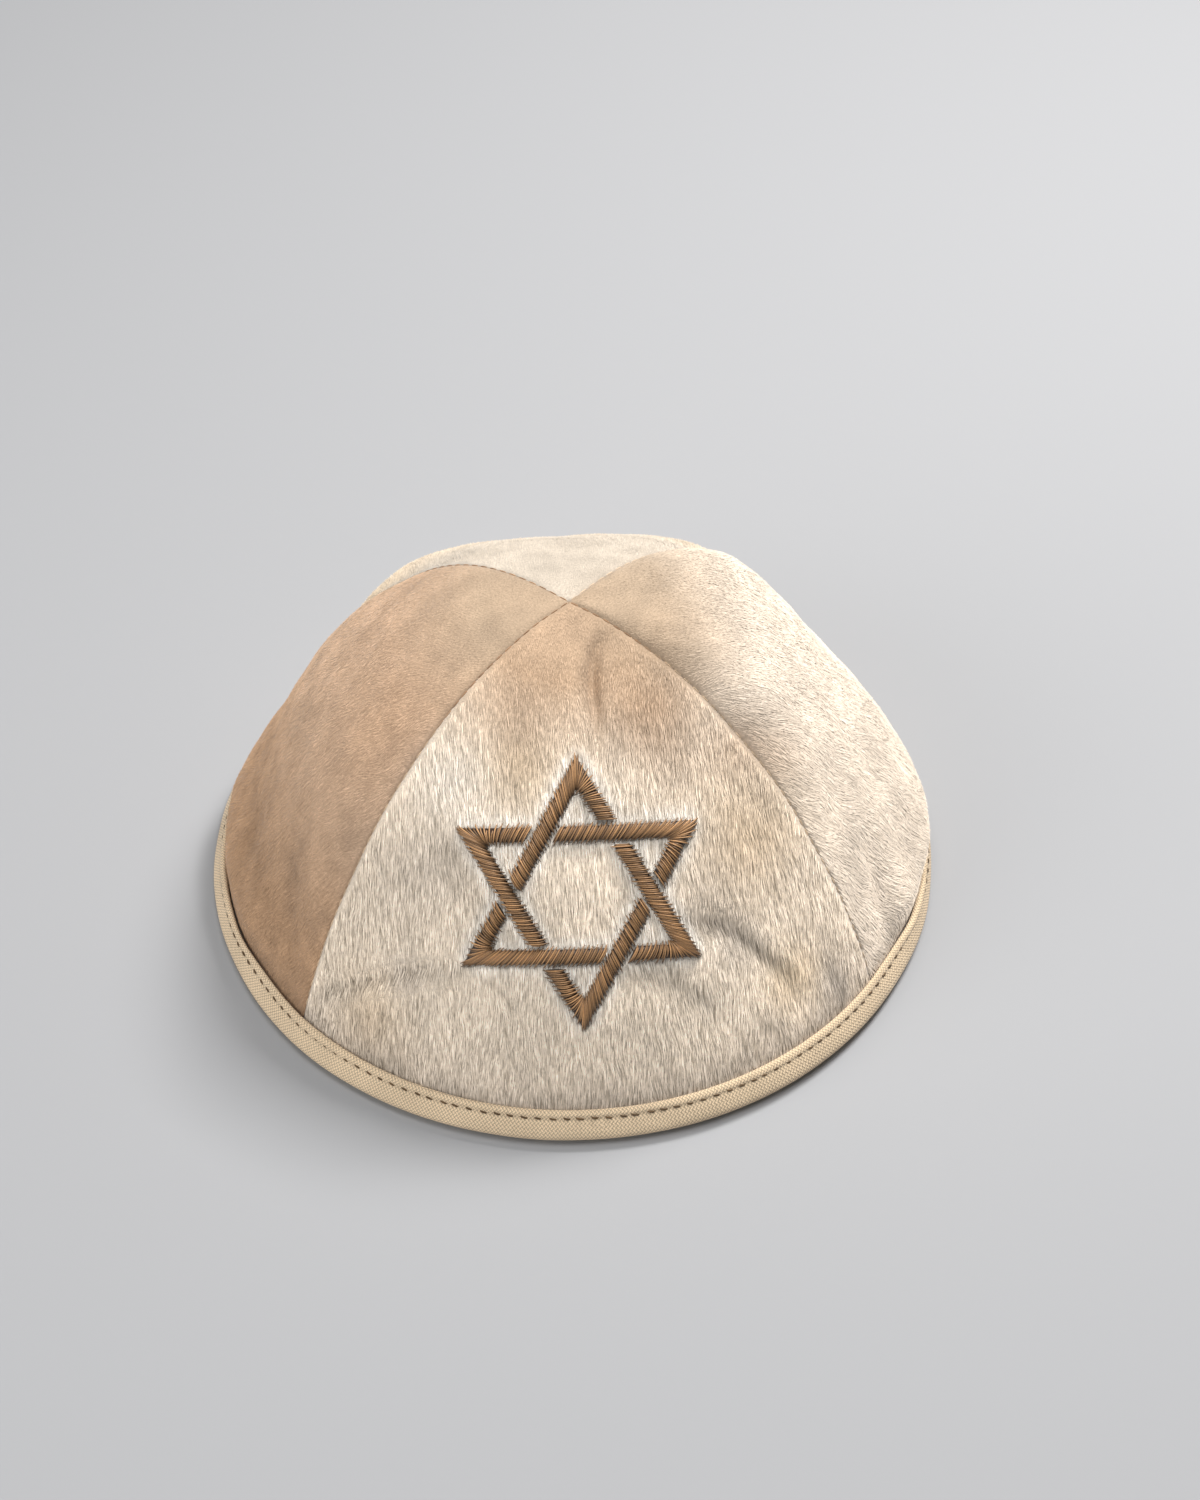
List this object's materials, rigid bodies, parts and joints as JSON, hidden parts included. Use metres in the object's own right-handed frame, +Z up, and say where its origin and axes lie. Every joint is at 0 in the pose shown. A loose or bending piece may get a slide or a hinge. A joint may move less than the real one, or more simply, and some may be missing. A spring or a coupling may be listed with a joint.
{
  "type": "kippah skullcap",
  "caption": "Soft plush skullcap sewn from gores that meet at the crown, with a bound rim and an interlaced six-pointed star raised on the front.",
  "frame": {"origin": "centre of the rim, on the surface that the cap rests on", "axes": "+Z up through the crown, -Y towards the front gore with the star, +X to the right as seen from the front"},
  "size_m": [0.1656, 0.165, 0.0831],
  "materials": {
    "plush": "short cream pile with a soft sheen, brushed in patches",
    "binding_tape": "plain woven beige tape, matte",
    "embroidery_thread": "brown gold satin stitch with thread sheen"
  },
  "bodies": {
    "root": {"front_panel": "plush", "right_panel": "plush", "back_panel": "plush", "left_panel": "plush", "rim_binding": "binding_tape", "star_point_1": "embroidery_thread", "star_point_2": "embroidery_thread", "star_point_3": "embroidery_thread", "star_point_4": "embroidery_thread", "star_point_5": "embroidery_thread", "star_point_6": "embroidery_thread"}
  },
  "joints": []
}
